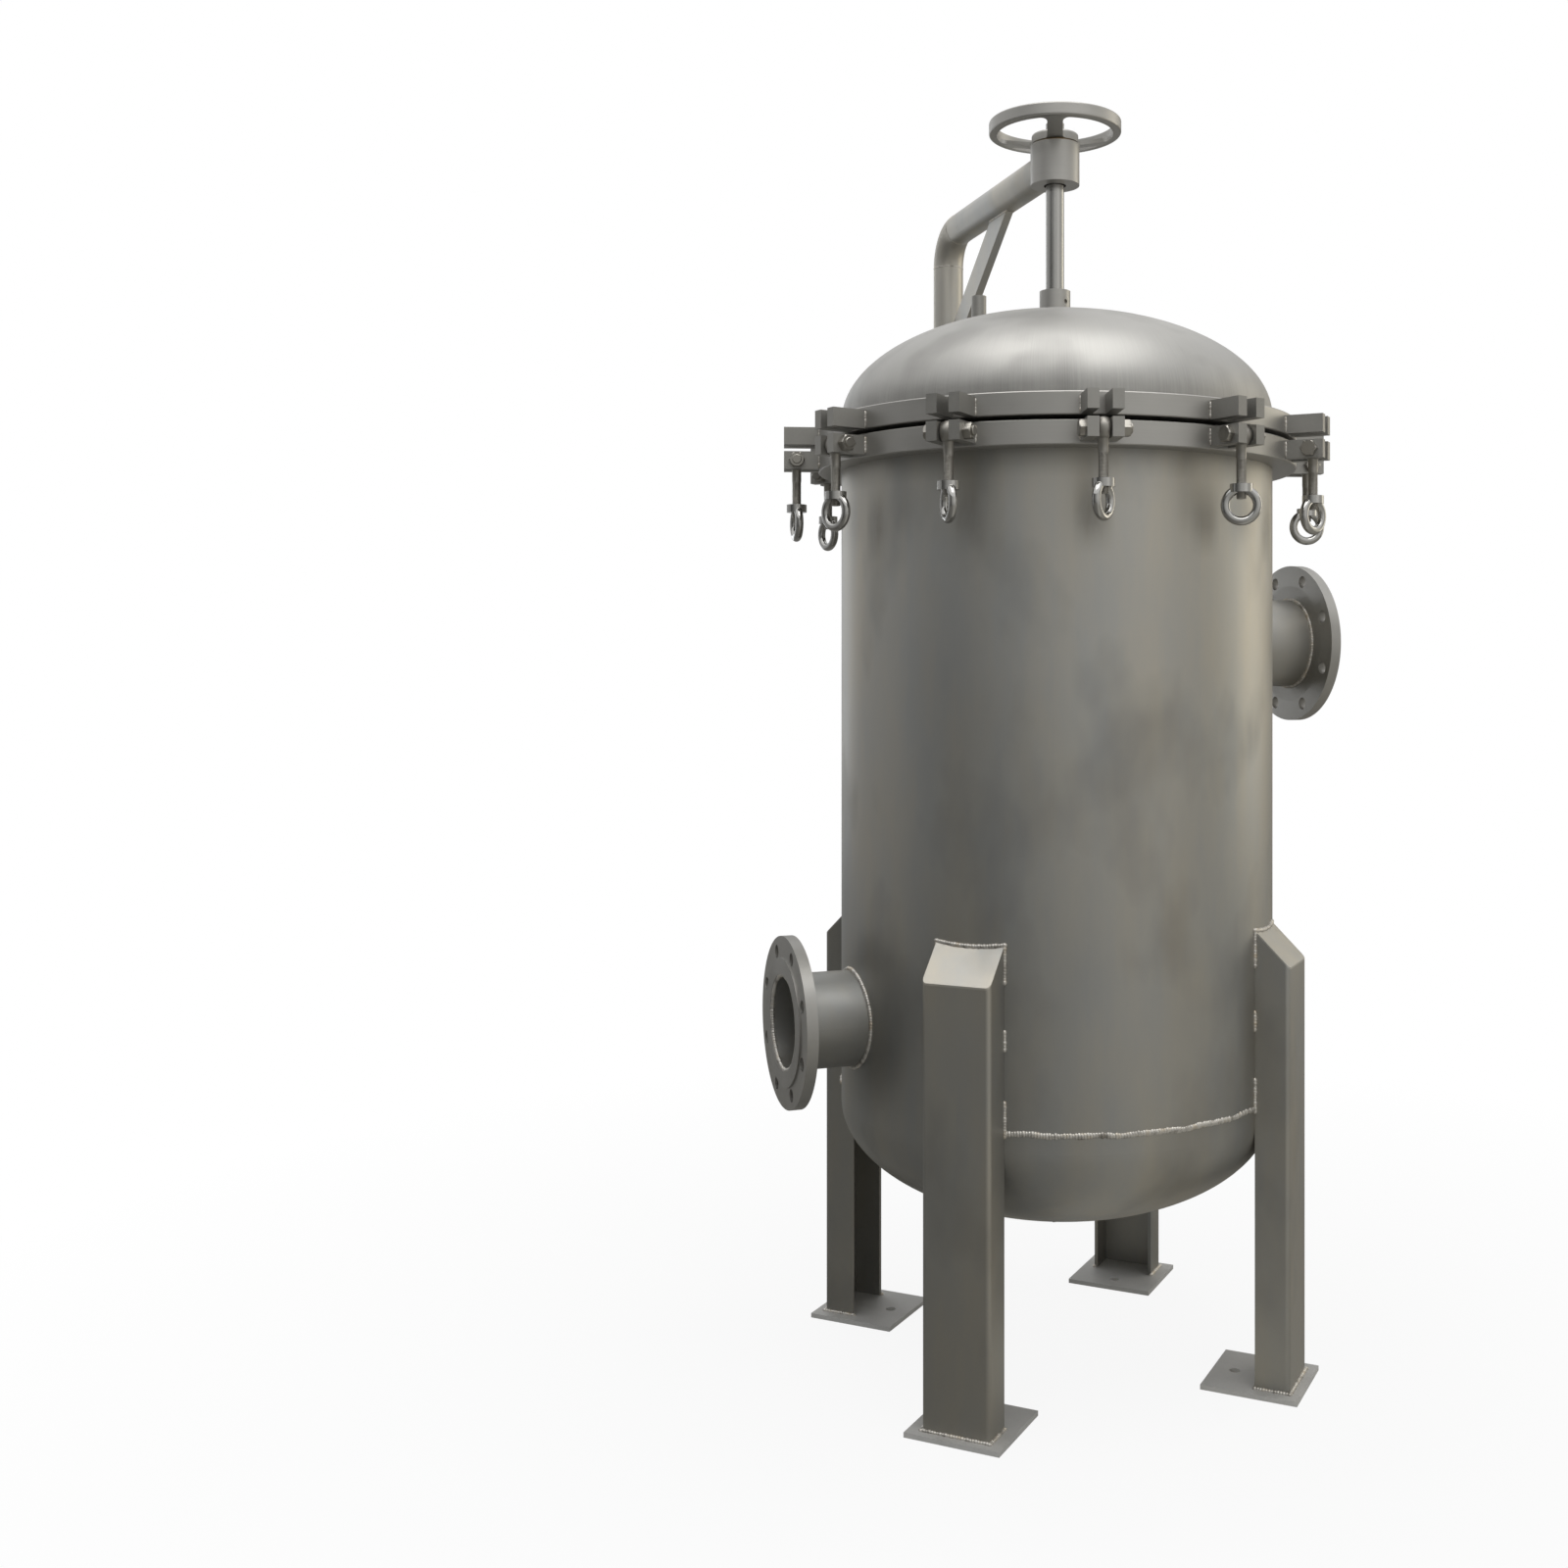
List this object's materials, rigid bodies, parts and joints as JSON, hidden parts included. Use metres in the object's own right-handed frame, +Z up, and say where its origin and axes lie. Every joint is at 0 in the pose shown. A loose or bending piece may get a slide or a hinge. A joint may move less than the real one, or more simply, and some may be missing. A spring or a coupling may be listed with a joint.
{
  "type": "bag filter housing",
  "caption": "Upright stainless bag filter housing on channel legs, with side nozzles, a domed lid clamped by swing bolts, and a davit with a handwheel.",
  "frame": {"origin": "on the floor, on the vessel's axis, at the centre of the four anchor holes", "axes": "+Z up, +X out of the inlet nozzle, -X out of the outlet nozzle, +Y towards the davit post"},
  "size_m": [0.99, 1.0591, 2.146],
  "materials": {
    "blasted_stainless": "bead-blasted matt stainless steel",
    "machined_stainless": "turned or sawn stainless steel, matt",
    "plain_fastener": "plain stainless fastener",
    "polished_stem": "polished stainless",
    "black_rubber": "matt",
    "felt": "needle felt",
    "bronze": "turned bronze",
    "bolt_steel": "dull threaded steel",
    "bright_steel": "polished forged steel"
  },
  "bodies": {
    "vessel": {"shell_barrel": "blasted_stainless", "bottom_head": "blasted_stainless", "body_flange": "machined_stainless", "body_lugs": "machined_stainless", "pivot_bolts": "plain_fastener", "lid_gasket": "black_rubber", "inlet_pipe": "blasted_stainless", "inlet_flange": "machined_stainless", "outlet_pipe": "blasted_stainless", "outlet_flange": "machined_stainless", "legs": "blasted_stainless", "base_plates": "machined_stainless", "bag_plate": "blasted_stainless", "bag_baskets": "blasted_stainless", "filter_bags": "felt", "bag_retainer": "blasted_stainless", "retainer_screws": "plain_fastener", "davit_socket": "blasted_stainless", "socket_bushes": "bronze", "davit_brackets": "blasted_stainless", "drain_coupling": "blasted_stainless", "drain_plug": "plain_fastener"},
    "davit": {"davit_pipe": "blasted_stainless", "davit_brace": "blasted_stainless", "davit_boss": "machined_stainless", "guide_bush": "bronze", "thrust_washer": "bronze"},
    "lid": {"lid_dome": "blasted_stainless", "lid_flange": "machined_stainless", "lid_lugs": "machined_stainless", "vent_socket": "blasted_stainless", "stem_collar": "machined_stainless", "collar_pin": "plain_fastener", "stem": "polished_stem"},
    "wheel": {"handwheel": "machined_stainless", "stem_nut": "bronze"},
    "bolt_01": {"swing_bolt_01": "bolt_steel"},
    "nut_01": {"eye_nut_01": "bright_steel"},
    "bolt_02": {"swing_bolt_02": "bolt_steel"},
    "nut_02": {"eye_nut_02": "bright_steel"},
    "bolt_03": {"swing_bolt_03": "bolt_steel"},
    "nut_03": {"eye_nut_03": "bright_steel"},
    "bolt_04": {"swing_bolt_04": "bolt_steel"},
    "nut_04": {"eye_nut_04": "bright_steel"},
    "bolt_05": {"swing_bolt_05": "bolt_steel"},
    "nut_05": {"eye_nut_05": "bright_steel"},
    "bolt_06": {"swing_bolt_06": "bolt_steel"},
    "nut_06": {"eye_nut_06": "bright_steel"},
    "bolt_07": {"swing_bolt_07": "bolt_steel"},
    "nut_07": {"eye_nut_07": "bright_steel"},
    "bolt_08": {"swing_bolt_08": "bolt_steel"},
    "nut_08": {"eye_nut_08": "bright_steel"},
    "bolt_09": {"swing_bolt_09": "bolt_steel"},
    "nut_09": {"eye_nut_09": "bright_steel"},
    "bolt_10": {"swing_bolt_10": "bolt_steel"},
    "nut_10": {"eye_nut_10": "bright_steel"},
    "bolt_11": {"swing_bolt_11": "bolt_steel"},
    "nut_11": {"eye_nut_11": "bright_steel"},
    "bolt_12": {"swing_bolt_12": "bolt_steel"},
    "nut_12": {"eye_nut_12": "bright_steel"}
  },
  "joints": [
    {"name": "davit_swing", "type": "hinge", "parent": "vessel", "child": "davit", "pos_m": [0, 0.533, 1.4], "axis": [0, 0, 1], "range_deg": [0, 135]},
    {"name": "handwheel_turn", "type": "hinge", "parent": "davit", "child": "wheel", "pos_m": [0, 0, 2.12], "axis": [0, 0, -1], "range_deg": [-252, 4500]},
    {"name": "lid_lift", "type": "slide", "parent": "davit", "child": "lid", "axis": [0, 0, 1], "range_m": [-0.0043, 0.0755]},
    {"name": "swing_bolt_01_swing", "type": "hinge", "parent": "vessel", "child": "bolt_01", "pos_m": [0.43756, 0.11725, 1.545], "axis": [-0.2588, 0.9659, 0], "range_deg": [-180, 15]},
    {"name": "eye_nut_01_travel", "type": "slide", "parent": "bolt_01", "child": "nut_01", "axis": [0, 0, -1], "range_m": [-0.0224, 0.01]},
    {"name": "swing_bolt_02_swing", "type": "hinge", "parent": "vessel", "child": "bolt_02", "pos_m": [0.32032, 0.32032, 1.545], "axis": [-0.7071, 0.7071, 0], "range_deg": [-180, 15]},
    {"name": "eye_nut_02_travel", "type": "slide", "parent": "bolt_02", "child": "nut_02", "axis": [0, 0, -1], "range_m": [-0.0224, 0.01]},
    {"name": "swing_bolt_03_swing", "type": "hinge", "parent": "vessel", "child": "bolt_03", "pos_m": [0.11725, 0.43756, 1.545], "axis": [-0.9659, 0.2588, 0], "range_deg": [-180, 15]},
    {"name": "eye_nut_03_travel", "type": "slide", "parent": "bolt_03", "child": "nut_03", "axis": [0, 0, -1], "range_m": [-0.0224, 0.01]},
    {"name": "swing_bolt_04_swing", "type": "hinge", "parent": "vessel", "child": "bolt_04", "pos_m": [-0.11725, 0.43756, 1.545], "axis": [-0.9659, -0.2588, 0], "range_deg": [-180, 15]},
    {"name": "eye_nut_04_travel", "type": "slide", "parent": "bolt_04", "child": "nut_04", "axis": [0, 0, -1], "range_m": [-0.0224, 0.01]},
    {"name": "swing_bolt_05_swing", "type": "hinge", "parent": "vessel", "child": "bolt_05", "pos_m": [-0.32032, 0.32032, 1.545], "axis": [-0.7071, -0.7071, 0], "range_deg": [-180, 15]},
    {"name": "eye_nut_05_travel", "type": "slide", "parent": "bolt_05", "child": "nut_05", "axis": [0, 0, -1], "range_m": [-0.0224, 0.01]},
    {"name": "swing_bolt_06_swing", "type": "hinge", "parent": "vessel", "child": "bolt_06", "pos_m": [-0.43756, 0.11725, 1.545], "axis": [-0.2588, -0.9659, 0], "range_deg": [-180, 15]},
    {"name": "eye_nut_06_travel", "type": "slide", "parent": "bolt_06", "child": "nut_06", "axis": [0, 0, -1], "range_m": [-0.0224, 0.01]},
    {"name": "swing_bolt_07_swing", "type": "hinge", "parent": "vessel", "child": "bolt_07", "pos_m": [-0.43756, -0.11725, 1.545], "axis": [0.2588, -0.9659, 0], "range_deg": [-180, 15]},
    {"name": "eye_nut_07_travel", "type": "slide", "parent": "bolt_07", "child": "nut_07", "axis": [0, 0, -1], "range_m": [-0.0224, 0.01]},
    {"name": "swing_bolt_08_swing", "type": "hinge", "parent": "vessel", "child": "bolt_08", "pos_m": [-0.32032, -0.32032, 1.545], "axis": [0.7071, -0.7071, 0], "range_deg": [-180, 15]},
    {"name": "eye_nut_08_travel", "type": "slide", "parent": "bolt_08", "child": "nut_08", "axis": [0, 0, -1], "range_m": [-0.0224, 0.01]},
    {"name": "swing_bolt_09_swing", "type": "hinge", "parent": "vessel", "child": "bolt_09", "pos_m": [-0.11725, -0.43756, 1.545], "axis": [0.9659, -0.2588, 0], "range_deg": [-180, 15]},
    {"name": "eye_nut_09_travel", "type": "slide", "parent": "bolt_09", "child": "nut_09", "axis": [0, 0, -1], "range_m": [-0.0224, 0.01]},
    {"name": "swing_bolt_10_swing", "type": "hinge", "parent": "vessel", "child": "bolt_10", "pos_m": [0.11725, -0.43756, 1.545], "axis": [0.9659, 0.2588, 0], "range_deg": [-180, 15]},
    {"name": "eye_nut_10_travel", "type": "slide", "parent": "bolt_10", "child": "nut_10", "axis": [0, 0, -1], "range_m": [-0.0224, 0.01]},
    {"name": "swing_bolt_11_swing", "type": "hinge", "parent": "vessel", "child": "bolt_11", "pos_m": [0.32032, -0.32032, 1.545], "axis": [0.7071, 0.7071, 0], "range_deg": [-180, 15]},
    {"name": "eye_nut_11_travel", "type": "slide", "parent": "bolt_11", "child": "nut_11", "axis": [0, 0, -1], "range_m": [-0.0224, 0.01]},
    {"name": "swing_bolt_12_swing", "type": "hinge", "parent": "vessel", "child": "bolt_12", "pos_m": [0.43756, -0.11725, 1.545], "axis": [0.2588, 0.9659, 0], "range_deg": [-180, 15]},
    {"name": "eye_nut_12_travel", "type": "slide", "parent": "bolt_12", "child": "nut_12", "axis": [0, 0, -1], "range_m": [-0.0224, 0.01]}
  ],
  "couplings": [
    {"joint": "lid_lift", "follows": "handwheel_turn", "m_per_rad": 0.00095493}
  ]
}
